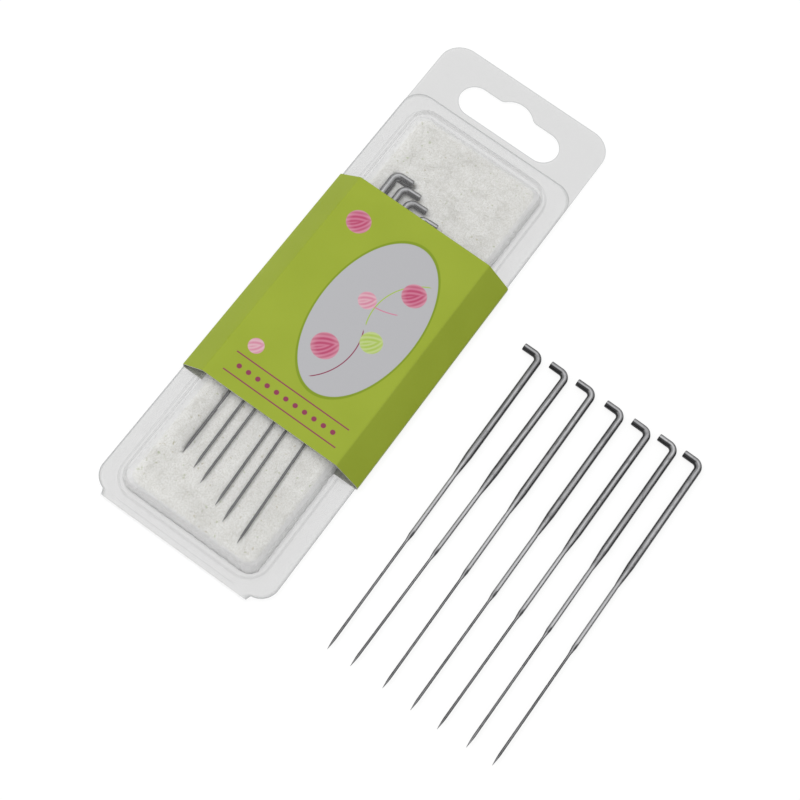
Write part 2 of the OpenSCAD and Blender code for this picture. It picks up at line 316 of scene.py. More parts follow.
def makeStudio(size):
    # Each lamp is a square turned to face the origin from its distance. The cards stand in a square round it.
    world = bpy.data.worlds.new("room")
    bpy.context.scene.world = world
    world.use_nodes = True
    tree = world.node_tree
    tree.nodes.clear()
    strength = addNode(tree, "MapRange", [seenDirectly(tree), 0, 1, size["world"], 1.0])
    addNode(tree, "OutputWorld", [addNode(tree, "Background", ["#ffffff", strength])])
    for name in ("key", "side"):
        lamp = size[name]
        data = bpy.data.lights.new(name, "AREA")
        data.shape, data.size, data.energy = "SQUARE", lamp["size"] * mm, lamp["power"]
        light = bpy.data.objects.new(name, data)
        away = np.array(lamp["from"]) / np.linalg.norm(lamp["from"])
        side = np.cross([0, 0, 1], away)
        side /= np.linalg.norm(side)
        matrix = np.eye(4)
        matrix[:3, 0], matrix[:3, 1], matrix[:3, 2] = side, np.cross(away, side), away
        matrix[:3, 3] = away * lamp["distance"] * mm
        light.matrix_world = Matrix(matrix.tolist())
        light.visible_camera = light.visible_glossy = False  # mirror-like skins show the white room alone
        bpy.context.scene.collection.objects.link(light)

    # Black cards round the set, seen only in mirror-like surfaces: they help to draw the dark flanks of the
    # wire
    material, tree = newMaterial("blackCard")
    addNode(tree, "OutputMaterial", [addNode(tree, "BsdfDiffuse", [size["cardInk"]])])
    r = size["cardAway"] * mm
    for name, first, last in (
        ("near", (-r, -r), (r, -r)),
        ("far", (-r, r), (r, r)),
        ("left", (-r, -r), (-r, r)),
        ("right", (r, -r), (r, r)),
    ):
        height = size["cards"][name] * mm
        mesh = bpy.data.meshes.new("card_" + name)
        mesh.from_pydata([(*first, 0), (*last, 0), (*last, height), (*first, height)], [], [(0, 1, 2, 3)])
        mesh.materials.append(material)
        card = bpy.data.objects.new("card_" + name, mesh)
        card.visible_camera = card.visible_diffuse = card.visible_shadow = False
        card.visible_transmission = False
        bpy.context.scene.collection.objects.link(card)

    material, tree = newMaterial("whiteTable")
    glow = addNode(tree, "Math", [seenDirectly(tree), size["floorGlow"]], operation="MULTIPLY")
    glow = addNode(tree, "Emission", ["#ffffff", glow])
    matt = addNode(tree, "BsdfDiffuse", [size["floorMatt"]])
    addNode(tree, "OutputMaterial", [addNode(tree, "AddShader", [glow, matt])])
    half = size["floorSize"] / 2 * mm
    corners = [(-half, -half, 0), (half, -half, 0), (half, half, 0), (-half, half, 0)]
    mesh = bpy.data.meshes.new("floor")
    mesh.from_pydata(corners, [], [(0, 1, 2, 3)])
    mesh.materials.append(material)
    floor = bpy.data.objects.new("floor", mesh)
    floor.location.z = cadLow.z - size["floorDrop"] * mm
    bpy.context.scene.collection.objects.link(floor)


makeStudio(studio)
bpy.context.scene.view_settings.view_transform = "Standard"
bpy.context.scene.cycles.transparent_max_bounces = 32
print("camera and light ready")


# Materials


sheetGloss = {
    "milk": "#f6f6f5",
    "ior": 1.54,
    "roughness": 0.08,
    "mirrored": (0.04, 0.85),  # face on and along the sheet
    "steepPower": 3.0,
    "steepTint": "#e6e6e6",
    "steepHaze": 0.3,
    "waves": 7,
}


def clearSheet(name, tint, haze, rimTint, gloss):
    # Rigid clear PVC sheet, vacuum formed: see-through with a mirror-like skin. It darkens where the eye
    # looks along the sheet, and its die-cut rim shows as a grey hairline. Reflection follows Schlick's rule
    # for IOR 1.54: it grows with the fifth power of the slant.
    material, tree = newMaterial(name)
    facing = addNode(tree, "LayerWeight", {"Blend": 0.5}, "Facing")
    rim = addNode(tree, "Attribute", output="Fac", attribute_name="rim")
    steep = addNode(tree, "Math", [facing, gloss["steepPower"]], operation="POWER")
    colour = layColours(tree, tint, (steep, 0, 1, 1, gloss["steepTint"]), (rim, 0, 1, 1, rimTint))
    through = addNode(tree, "BsdfTransparent", [colour])
    milk = addNode(
        tree,
        "BsdfPrincipled",
        {"Base Color": gloss["milk"], "Roughness": 0.35, "IOR": gloss["ior"], "Specular IOR Level": 0.3},
    )
    hazeShare = addNode(tree, "MapRange", [steep, 0, 1, haze, gloss["steepHaze"]])
    body = addNode(tree, "MixShader", [hazeShare, through, milk])
    place = addNode(tree, "TexCoord", output="Object")
    scale = 1 / (gloss["waves"] * mm)
    ripple = addNode(tree, "TexNoise", {"Vector": place, "Scale": scale, "Detail": 1.0, "Roughness": 0.4})
    bump = addNode(tree, "Bump", {"Height": ripple, "Strength": 0.06, "Distance": 0.2 * mm})
    skin = addNode(tree, "BsdfGlossy", {"Color": "#ffffff", "Roughness": gloss["roughness"], "Normal": bump})
    slant = addNode(tree, "Math", [facing, 5.0], operation="POWER")
    mirrored = addNode(tree, "MapRange", [slant, 0, 1, *gloss["mirrored"]])
    addNode(tree, "OutputMaterial", [addNode(tree, "MixShader", [mirrored, body, skin])])
    return material


steelFinish = {
    "skin": "#b4b4b6",
    "lines": {"across": 0.45, "along": 16.0, "detail": 2.0, "roughness": 0.5, "ink": "#d8d8da"},
    "specks": {"across": 0.6, "along": 1.3, "detail": 3.0, "roughness": 0.6, "ink": "#7c7c7e"},
    "patches": {"across": 1.6, "along": 7.0, "detail": 2.0, "roughness": 0.5, "ink": "#858587"},
    # dull marks, and painted shade on the blades of the packed needles
    "dullAndShade": "#4c4c4e",
    "burnished": "#e4e4e6",
    # painted shade: near black laid on the wire's flanks and on the inside of its bend
    "scale": "#101011",
    "gloss": (0.28, 0.42),  # roughness between the specks and on them
    "relief": 0.03,
}


def steelWire(finish):
    # Spring steel wire, swaged in steps and hardened: a grey skin with paler drawing lines 0.45 mm wide
    # along the wire and darker specks of scale about 1 mm long. Painted shade darkens the flanks, and the
    # crest is left bright, a painted highlight.
    material, tree = newMaterial("swagedSteel")
    place = addNode(tree, "Attribute", output="Vector", attribute_name="wirePlace")
    noise = []
    for pattern in (finish["lines"], finish["specks"], finish["patches"]):
        across, along = 1 / (pattern["across"] * mm), 1 / (pattern["along"] * mm)
        vector = addNode(tree, "Mapping", {"Vector": place, "Scale": (across, along, across)})
        inputs = {"Scale": 1.0, "Detail": pattern["detail"], "Roughness": pattern["roughness"]}
        noise.append(addNode(tree, "TexNoise", {"Vector": vector, **inputs}))
    lines, specks, patches = noise
    ground = addNode(tree, "Attribute", output="Fac", attribute_name="ground")
    flank = addNode(tree, "Attribute", output="Fac", attribute_name="flank")
    base = layColours(
        tree,
        finish["skin"],
        (lines, 0.36, 0.64, 1, finish["lines"]["ink"]),
        (specks, 0.54, 0.7, 0.5, finish["specks"]["ink"]),
        (patches, 0.5, 0.7, 0.4, finish["patches"]["ink"]),
        # dull marks of the dies and the blade, and painted shade on the packed needles
        (ground, 0, 2, 1, finish["dullAndShade"]),
        (ground, 0, -1, 0.6, finish["burnished"]),  # below zero the attribute means burnished
        # painted shade on the flanks and inside the bend, where the flank attribute is high
        (flank, 0, 1, 1, finish["scale"]),
    )
    parts = [
        addNode(tree, "Math", [pattern, share], operation="MULTIPLY")
        for pattern, share in ((lines, 0.6), (specks, 0.4))
    ]
    height = addNode(tree, "Math", parts, operation="ADD")
    bump = addNode(tree, "Bump", {"Height": height, "Strength": 0.18, "Distance": finish["relief"] * mm})
    rough = addNode(tree, "MapRange", [specks, 0.3, 0.7, *finish["gloss"]])
    inputs = {"Base Color": base, "Metallic": 1.0, "Roughness": rough, "Normal": bump}
    addNode(tree, "OutputMaterial", [addNode(tree, "BsdfPrincipled", inputs)])
    return material


fleeceFinish = {
    "clouds": {"size": 6, "detail": 3.0, "roughness": 0.55},
    "bend": {"size": 3, "detail": 1.0, "roughness": 0.5},
    "flecks": {"size": 1.1, "detail": 2.0, "roughness": 0.5},
    "fleckHue": {"size": 5, "detail": 2.0, "roughness": 0.5},
    "fine": {"size": 0.4, "detail": 3.0, "roughness": 0.5},
    "fibre": (0.16, 1.8, 0.3),  # width, length and depth
    "angles": (12, 57, 101, 149),
    "bendShare": 0.0035,
    # painted shade between the fibres
    "gapShade": "#c8c7c1",
    "fineShade": "#cbc9c1",
    "tan": "#b3a98a",
    "green": "#a9b48a",
    # painted light: white laid over the pad's sides to lift their shade
    "sides": "#ffffff",
    "through": 0.85,
    "relief": 0.06,
}


def fleeceFibre(name, light, dark, fibreStrength, depth, finish):
    # Needled polyester fleece: matt white fibres in every direction, a cloudy body with loose ends on top
    # and a few tan and green specks. Fibres are drawn 0.16 mm wide, coarser than real ones, so that they
    # show. Light goes into the body to this depth, which softens the shadows on it and lights its sides.
    material, tree = newMaterial(name)
    place = addNode(tree, "TexCoord", output="Object")
    noise = []
    for key in ("clouds", "bend", "flecks", "fleckHue", "fine"):
        pattern = finish[key]
        inputs = {"Scale": 1 / (pattern["size"] * mm), "Detail": pattern["detail"]}
        inputs["Roughness"] = pattern["roughness"]
        noise.append(addNode(tree, "TexNoise", {"Vector": place, **inputs}))
    clouds, bend, flecks, fleckHue, fine = noise
    bend = bend.node.outputs["Color"]
    bent = addNode(tree, "Mix", {0: finish["bendShare"], 4: place, 5: bend}, 1, data_type="VECTOR")
    strands = None
    scale = tuple(1 / (size * mm) for size in finish["fibre"])
    for angle in finish["angles"]:
        turn = (0, 0, math.radians(angle))
        turned = addNode(tree, "Mapping", {"Vector": bent, "Rotation": turn, "Scale": scale})
        layer = addNode(tree, "TexNoise", {"Vector": turned, "Scale": 1.0, "Detail": 2.0})
        strands = layer if strands is None else addNode(tree, "Math", [strands, layer], operation="MAXIMUM")
    side = addNode(tree, "Attribute", output="Fac", attribute_name="side")  # painted light: 1 on the pad's sides, where they are lightened
    base = layColours(
        tree,
        light,
        (clouds, 0.35, 0.68, 1, dark),
        # painted shade in the gaps between the fibres
        (strands, 0.68, 0.5, 0.35, finish["gapShade"]),
        (fine, 0.4, 0.65, 0.45, finish["fineShade"]),
        (flecks, 0.66, 0.74, 0.6, layColours(tree, finish["tan"], (fleckHue, 0.45, 0.55, 1, finish["green"]))),
        # painted light on the pad's sides
        (side, 0, 1, 0.75, finish["sides"]),
    )
    height = addNode(tree, "Math", [strands, fibreStrength], operation="MULTIPLY")
    height = addNode(tree, "Math", [height, clouds], operation="ADD")
    bump = addNode(tree, "Bump", {"Height": height, "Strength": 0.2, "Distance": finish["relief"] * mm})
    fleece = addNode(
        tree,
        "BsdfPrincipled",
        {
            "Base Color": base,
            "Roughness": 0.92,
            "Specular IOR Level": 0.2,
            "Sheen Weight": 0.25,
            "Sheen Roughness": 0.5,
            "Subsurface Weight": finish["through"] if depth else 0.0,
            "Subsurface Radius": (1, 1, 1),
            "Subsurface Scale": depth * mm,
            "Normal": bump,
        },
    )
    addNode(tree, "OutputMaterial", [fleece])
    return material


clearBack = clearSheet("clearPvcBack", "#efefef", 0.02, "#e2e3e3", sheetGloss)
clearFront = clearSheet("clearPvcFront", "#ffffff", 0.01, "#e0e1e1", sheetGloss)
swagedSteel = steelWire(steelFinish)
whiteFleece = fleeceFibre("needledFleece", "#f6f6f4", "#eeeeec", 0.8, 1.6, fleeceFinish)
fleeceStrand = fleeceFibre("fleeceStrand", "#efeeea", "#dddcd6", 0.2, 0, fleeceFinish)
print("plastic, steel and fleece ready")


# Back half: a flat sheet with the hang tab, ruled between its outline and its slot.

notchSize = {
    "leftTip": 3.9,
    "rightTip": 4.4,
    "notch": 1.25,
    "flank": (-0.35, 0.1),  # from full depth to none, inwards from a tip
    "fade": (2.5, 11),
}

backSize = {
    "foldRadius": 4.6,
    "tabRadius": 6.0,
    "slotWidth": 8.6,
    "slotLength": 28.4,
    "pegRadius": 5.5,
    "pegRise": 2.3,
    "pegFlank": 2.2,  # radius between the peg's rise and the slot
    "slotMargin": 1.8,
    "edge": 0.05,
    "rimWidth": 0.1,
}


def arcOutline(arcs):
    # A closed outline through arcs (centre, radius, first and last angle in degrees) joined by straight
    # runs. A last angle below the first goes clockwise, and its normal points to the centre. Points lie 3
    # degrees or 0.5 mm apart.
    points, normals = [], []
    for cx, cy, radius, first, last in arcs:
        count = max(3, int(abs(last - first) / 3))
        angle = np.radians(np.linspace(first, last, count + 1))
        turn = np.stack([np.cos(angle), np.sin(angle)], -1)
        points.append(np.array([cx, cy]) + radius * turn)
        normals.append(turn if last > first else -turn)
    filled, filledNormals = [], []
    for k, (arc, normal) in enumerate(zip(points, normals)):
        goal = points[(k + 1) % len(points)][0]
        gap = np.linalg.norm(goal - arc[-1])
        steps = max(1, int(gap / 0.5))
        share = np.linspace(0, 1, steps + 1)[1:-1, None]
        filled += [arc, arc[-1] + (goal - arc[-1]) * share]
        run = (goal - arc[-1]) / max(gap, 1e-9)
        across = np.array([[run[1], -run[0]]])
        filledNormals += [normal, np.repeat(across, max(steps - 1, 0), 0)]
    return np.concatenate(filled), np.concatenate(filledNormals)


def byAngle(points, normals, centre, angles):
    # The outline's points and normals at these directions from a centre that sees all of it
    place = np.arctan2(points[:, 1] - centre[1], points[:, 0] - centre[0]) % math.tau
    order = np.argsort(place)
    columns = (*points.T, *normals.T)
    table = [np.interp(angles, place[order], column[order], period=math.tau) for column in columns]
    normal = np.stack(table[2:], -1)
    return np.stack(table[:2], -1), normal / np.linalg.norm(normal, axis=1)[:, None]


def makeBackHalf(size):
    # A ruled sheet: straight lines run from the outline to the slot in every direction from the slot's
    # middle. The peg's rise is an arc that touches a small arc on each flank, and these touch the slot's
    # straight side.
    half = size["slotWidth"] / 2
    run = size["slotLength"] / 2 - half
    centre = np.array([packWidth / 2, frontLength + size["slotMargin"] + half])
    pegY = half + size["pegRise"] - size["pegRadius"]
    flank, reach = size["pegFlank"], size["pegRadius"] + size["pegFlank"]
    flankX = math.sqrt(reach**2 - (half + flank - pegY) ** 2)
    lean = math.degrees(math.atan2(half + flank - pegY, flankX))
    slot, slotNormal = arcOutline(
        [
            (run, 0, half, -90, 90),
            (flankX, half + flank, flank, -90, -180 + lean),
            (0, pegY, size["pegRadius"], lean, 180 - lean),
            (-flankX, half + flank, flank, -lean, -90),
            (-run, 0, half, 90, 270),
        ]
    )
    slot = slot + centre
    fold, tab = size["foldRadius"], size["tabRadius"]
    outline, outlineNormal = arcOutline(
        [
            (packWidth - fold, fold, fold, -90, 0),
            (packWidth - tab, packLength - tab, tab, 0, 90),
            (tab, packLength - tab, tab, 90, 180),
            (fold, fold, fold, 180, 270),
        ]
    )
    angles = np.concatenate(
        [np.arctan2(p[:, 1] - centre[1], p[:, 0] - centre[0]) % math.tau for p in (slot, outline)]
    )
    left, right = notchSize["leftTip"], packWidth - notchSize["rightTip"]
    # More directions close to both tips of the notches
    tips = np.concatenate([left + np.arange(-6, 5) * 0.09, right + np.arange(-4, 7) * 0.09])
    angles = np.concatenate([angles, np.arctan2(0.05 - centre[1], tips - centre[0]) % math.tau])
    angles = np.unique(np.round(angles, 5))
    angles = angles[np.concatenate([[True], np.diff(angles) > 2e-4])]
    slot, slotNormal = byAngle(slot, slotNormal, centre, angles)
    outline, outlineNormal = byAngle(outline, outlineNormal, centre, angles)
    outline, outlineNormal = foldNotch(outline, notchSize)
    cutRim = np.where((outline[:, 1] < 0.1) & (outlineNormal[:, 1] < -0.9), 0.0, 1.0)  # no cut along the fold

    low, high, edge, rim = backLow[2], backHigh[2], size["edge"], size["rimWidth"]
    rings, rims = [], []

    def add(flat, height, value):
        # One more ring, and how far it counts as cut rim
        rings.append(ring(flat, height))
        rims.append(value * np.ones(len(flat)))

    def face(top):
        # One face of the sheet, from its rim to the slot's
        height, skin = (high, high - edge) if top else (low, low + edge)
        add(outline, skin, cutRim)
        add(outline - outlineNormal * edge, height, cutRim)
        add(outline - outlineNormal * rim, height, 0.55 * cutRim)
        inner, innerSlot = outline - outlineNormal * 2 * rim, slot + slotNormal * 2 * rim
        for share in np.linspace(0, 1, 12):
            add(inner + (innerSlot - inner) * share, height, 0)
        add(slot + slotNormal * rim, height, 0.55)
        add(slot + slotNormal * edge, height, 1)
        add(slot, skin, 1)

    face(True)
    top = rings[:]
    topRims = rims[:]
    rings.clear()
    rims.clear()
    face(False)
    rings = np.array(top + rings[::-1])
    rims = np.array(topRims + rims[::-1])
    piece = makePiece(
        "back_sheet",
        rings,
        gridFaces(len(rings), len(outline), True, True),
        sharpAt=30,
        values={"rim": rims.ravel()},
    )
    piece.data.materials.append(clearBack)
    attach(piece, "pack")
    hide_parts("back_half")


makeBackHalf(backSize)


# Front half: flange, stepped wall and flat top formed from one sheet.

frontSize = {
    "foldRadius": 4.6,
    "farRadius": 5.0,
    "leftLand": 3.4,
    "rightLand": 4.2,
    "foldLand": 2.6,
    "farLand": 3.1,
    "footRadius": 6.0,
    "stepHeight": 1.1,
    "stepLean": 0.25,
    "ledge": 0.9,
    "wallLean": 0.75,
    "topRadius": 0.9,
    "footFillet": 0.3,
    "stepFillet": 0.42,
    "ledgeFillet": 0.28,
    "edge": 0.05,
    "rimWidth": 0.1,
    "crease": 1.2,  # line pressed along the fold, this far from it
    "creaseDepth": 0.05,
    "ripple": 0.05,
    "rippleLength": 26,
}


def makeFrontHalf(size):
    # One section, from the flange over the step and wall to the top, is carried round the foot's outline. The
    # flange is ruled from the outline to the foot, and the top closes on a line along its middle.
    low, top = frontLow[2], frontHigh[2]
    thick = sheetThickness
    flange = low + thick
    step = flange + size["stepHeight"]
    ledgeIn = size["stepLean"] + size["ledge"]
    wallTop = ledgeIn + size["wallLean"]
    flatIn = wallTop + size["topRadius"]
    # Section from the flange inwards: distance in from the foot, and height
    section = filletedLine(
        [
            (-0.9, flange),
            (0.0, flange),
            (size["stepLean"], step),
            (ledgeIn, step),
            (wallTop + 0.12, top),
            (flatIn + 0.5, top),
        ],
        [size["footFillet"], size["stepFillet"], size["ledgeFillet"], size["topRadius"]],
    )
    normal = -lineNormals(section)
    inside = section - normal * thick

    foot, footNormal = roundedBox(
        size["leftLand"],
        size["foldLand"],
        packWidth - size["rightLand"],
        frontLength - size["farLand"],
        size["footRadius"],
        size["footRadius"],
    )
    outline, outlineNormal = roundedBox(
        0, 0, packWidth, frontLength, size["foldRadius"], size["farRadius"]
    )
    outline, outlineNormal = foldNotch(outline, notchSize)
    cutRim = np.where((outline[:, 1] < 0.1) & (outlineNormal[:, 1] < -0.9), 0.0, 1.0)
    x0, y0 = foot.min(0) + size["footRadius"]
    x1, y1 = foot.max(0) - size["footRadius"]
    middle = (x0 + x1) / 2
    spine = np.stack([np.full(len(foot), middle), np.clip(foot[:, 1], y0 + 8, y1 - 8)], -1)

    def half(line, height, skin):
        # Rings of one side of the sheet, from the rim to the middle of the top
        rings, rims = [ring(outline, skin)], [cutRim]
        for reach, value in ((size["edge"], 1), (size["rimWidth"], 0.5)):
            rings.append(ring(outline - outlineNormal * reach, height))
            rims.append(cutRim * value)
        goal = foot - footNormal * line[0, 0]
        crease = size["crease"] / (size["foldLand"] + line[0, 0])
        for share, press in ((0.2, 0), (crease - 0.06, 0), (crease, 1), (crease + 0.06, 0)):
            dip = press * (1 - cutRim)
            rings.append(ring(outline + (goal - outline) * share, height - size["creaseDepth"] * dip))
            rims.append(0.3 * dip)
        for away, z in line:
            rings.append(ring(foot - footNormal * away, z))
            rims.append(np.zeros(len(foot)))
        last = foot - footNormal * line[-1, 0]
        deep = foot - footNormal * (size["footRadius"] - 0.3)
        for share in (0.33, 0.66, 1.0):
            rings.append(ring(last + (deep - last) * share, line[-1, 1]))
            rims.append(np.zeros(len(foot)))
        for share in np.linspace(0, 1, 11)[1:]:
            rings.append(ring(deep + (spine - deep) * share, line[-1, 1]))
            rims.append(np.zeros(len(foot)))
        return rings, rims

    outer, outerRim = half(section, flange, flange - size["edge"])
    inner, innerRim = half(inside, low, low + size["edge"])
    rings = np.array(outer + inner[::-1])
    rims = np.array(outerRim + innerRim[::-1])
    # The wide faces of formed sheet are never quite flat
    wide = smoothStep(3, 7, np.minimum.reduce([
        rings[..., 0] - foot[:, 0].min(),
        foot[:, 0].max() - rings[..., 0],
        rings[..., 1] - foot[:, 1].min(),
        foot[:, 1].max() - rings[..., 1],
    ]))
    ripple = waves(rings[..., 0], rings[..., 1], 4, size["rippleLength"])
    rings[..., 2] += size["ripple"] * wide * (ripple - 1)
    faces = gridFaces(len(rings), len(foot), True, True)
    faces = faces[faces[:, 0] // len(foot) != len(outer) - 1]  # both skins are whole in the middle
    piece = makePiece(
        "front_shell",
        rings,
        faces,
        sharpAt=50,
        values={"rim": rims.ravel()},
    )
    piece.data.materials.append(clearFront)
    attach(piece, "pack")
    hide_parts("front_half")


makeFrontHalf(frontSize)


# Fold: the strip that joins both halves, bent round in a half circle with a nib at each end.

foldSize = {
    "nibLength": 0.7,
    "past": 0.15,  # how far it reaches beyond the tips
    "steps": 80,
    "around": 14,
}


def makeFold(size):
    # Half circles side by side along the fold, from the back half's underside to the front half's top. They
    # shrink towards both ends as the root of the distance from the end, which rounds the nibs.
    low, high = backLow[2], frontLow[2] + sheetThickness
    radius, middle = (high - low) / 2, (high + low) / 2
    share = (1 - np.cos(np.linspace(0, math.pi, size["steps"]))) / 2
    left, right = notchSize["leftTip"], notchSize["rightTip"]
    x = left - size["past"] + (packWidth - left - right + 2 * size["past"]) * share
    end = np.minimum(x - x[0], x[-1] - x) / size["nibLength"]
    width = np.sqrt(np.clip(end, 0.0, 1.0))
    angle = np.radians(np.linspace(-90, 90, size["around"] + 1))
    reach = -np.cos(angle)[None, :] * radius * (0.55 + 0.45 * width)[:, None]
    height = middle + np.sin(angle)[None, :] * radius * (0.25 + 0.75 * width)[:, None]
    place = np.stack([np.broadcast_to(x[:, None], reach.shape), reach, height], -1)
    flat = np.zeros((2, len(angle)))  # the ends close on their own middles
    ends = np.stack([flat + x[[0, -1], None], flat, flat + height[[0, -1]].mean(1)[:, None]], -1)
    grid = np.concatenate([ends[:1], place, ends[1:]])
    piece = makePiece(
        "fold_strip",
        grid,
        gridFaces(len(grid), len(angle), False, True),
        values={"rim": np.zeros(grid.shape[0] * grid.shape[1])},
    )
    piece.data.materials.append(clearFront)
    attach(piece, "pack")
    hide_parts("living_hinge")


makeFold(foldSize)
print("clear pack made")


# Needles: round wire swaged down in two steps to a three-edged barbed blade, bent at the head.

needleSize = {
    "length": 86.0,
    "shankRadius": 0.9,
    "middleRadius": 0.55,
    "bladeRadius": 0.36,
    "tipRadius": 0.03,
    "pointLength": 3.0,
    "bladeLength": 30.0,
    "bladeCone": 2.0,
    "middleLength": 17.0,
    "shankCone": 6.0,
    "bendRadius": 1.7,
    "crankReach": 4.7,
    "chamfer": 0.15,
    "dish": 0.12,
    "firstBarb": 6.4,
    "barbPitch": 2.1,
    "barbLength": 0.6,
    "barbDepth": 0.06,
    "barbs": 3,
    "around": 36,
}


def needleSurface(size):
    # Radius as a function of the station along the wire and the angle round it. The blade is a triangle,
    # whose radius is the inradius over the cosine of the angle from the nearest side's middle, cut back at
    # the barbs and inside the cone of the point. Further on the wire is round, and its radius follows the
    # two cones.
    middleStart = size["bladeLength"] + size["bladeCone"]
    middleEnd = middleStart + size["middleLength"]
    shankStart = middleEnd + size["shankCone"]
    crankY = size["length"] - size["shankRadius"]
    shankEnd = crankY - size["bendRadius"]
    bend = size["bendRadius"] * math.pi / 2
    total = shankEnd + bend + size["crankReach"] - size["bendRadius"]
    barbs = [
        (size["firstBarb"] + (3 * i + edge) * size["barbPitch"], math.radians(-90 - 120 * edge))
        for edge in range(3)
        for i in range(size["barbs"])
    ]
    barbStarts = np.array([start for start, _ in barbs])[:, None]
    stops = [
        np.array([0.0, 0.04, 0.12, 0.3]),
        np.arange(0.6, size["bladeLength"], 0.6),
        (barbStarts + size["barbLength"] * np.array([0, 0.5, 1, 1]) + np.array([0, 0, 0, 0.02])).ravel(),
        np.arange(size["bladeLength"] - 1.2, middleStart + 2, 0.2),
        np.linspace(middleStart + 2, middleEnd, 12),
        np.linspace(middleEnd, shankStart, 14),
        np.linspace(shankStart, shankEnd, 20),
        np.linspace(shankEnd, shankEnd + bend, 17),
        np.linspace(shankEnd + bend, total - size["chamfer"], 5),
        np.array([total]),
    ]
    along = np.unique(np.round(np.concatenate(stops), 4))
    angle = np.radians(-90 + np.arange(size["around"]) * 360 / size["around"])
    s, a = np.meshgrid(along, angle, indexing="ij")
    fromSide = (a + math.radians(90)) % math.radians(120) - math.radians(60)
    blade = size["bladeRadius"] / 2 / np.cos(fromSide)
    blade = np.minimum(blade, size["bladeRadius"] * 0.97)  # edges are not razor sharp
    for start, edge in barbs:
        depth = size["barbDepth"] * np.clip((s - start) / size["barbLength"], 0, 1)
        depth = np.where((s >= start) & (s <= start + size["barbLength"] + 0.001), depth, 0)
        off = (a - edge + math.pi) % math.tau - math.pi
        cut = (size["bladeRadius"] - depth) / np.maximum(np.cos(off), 0.05)
        blade = np.where((depth > 0) & (np.abs(off) < math.radians(60)), np.minimum(blade, cut), blade)
    stations = [size["bladeLength"] - 1.6, size["bladeLength"], middleStart, middleEnd, shankStart]
    radii = [size["bladeRadius"] * 0.3, size["bladeRadius"] * 0.86]
    radii += [size["middleRadius"], size["middleRadius"], size["shankRadius"]]
    wire = np.interp(s, stations, radii, left=0) - 0.03 * np.exp(-(((s - middleEnd) / 0.8) ** 2))
    point = size["tipRadius"] + size["bladeRadius"] * s / size["pointLength"]
    radius = np.minimum(np.maximum(np.where(s < middleStart, blade, 0), wire), point)
    radius = np.where(s > total - size["chamfer"] / 2, radius - size["chamfer"], radius)
    # Caps: the tip and the sheared end face close on their own middles, the end face a little dished
    s = np.concatenate([s[:1], s, s[-1:] - size["dish"] * 0.4, s[-1:] - size["dish"]])
    a = np.concatenate([a[:1], a, a[-1:], a[-1:]])
    radius = np.concatenate([radius[:1] * 0, radius, radius[-1:] * 0.45, radius[-1:] * 0])
    return s, a, radius, shankEnd, bend


def bendWire(size, s, a, radius, shankEnd, bend):
    # Centre line: straight, then a quarter circle towards -X, then straight. The wire's side axis turns
    # with it.
    turn = np.clip((s - shankEnd) / size["bendRadius"], 0, math.pi / 2)
    r = size["bendRadius"]
    rest = np.maximum(s - shankEnd - bend, 0)
    cx = -r + r * np.cos(turn) - rest
    cy = np.minimum(s, shankEnd) + r * np.sin(turn)
    side, lift = radius * np.cos(a), radius * np.sin(a)
    return np.stack([cx + side * np.cos(turn), cy + side * np.sin(turn), lift], -1)


def needleLie(name):
    # Where a packed needle lies, read off its node: its point, its height and how far its shank leans
    co = np.array([v.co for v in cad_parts[name].data.vertices]) / mm
    tip = co[co[:, 1] < co[:, 1].min() + 0.02].mean(0)
    shankStart = sum(needleSize[k] for k in ("bladeLength", "bladeCone", "middleLength", "shankCone"))
    body = co[np.abs(co[:, 1] - tip[1] - shankStart) < 0.4]
    middle = (body.min(0) + body.max(0)) / 2
    head = co[co[:, 1].argmax()]
    lean = math.atan2(middle[0] - tip[0], middle[1] - tip[1])
    towards = co[co[:, 1] > co[:, 1].max() - 1.2].mean(0)[0] - (tip[0] + math.tan(lean) * (head[1] - tip[1]))
    return np.array([tip[0], tip[1], middle[2]]), lean, 1 if towards > 0 else -1


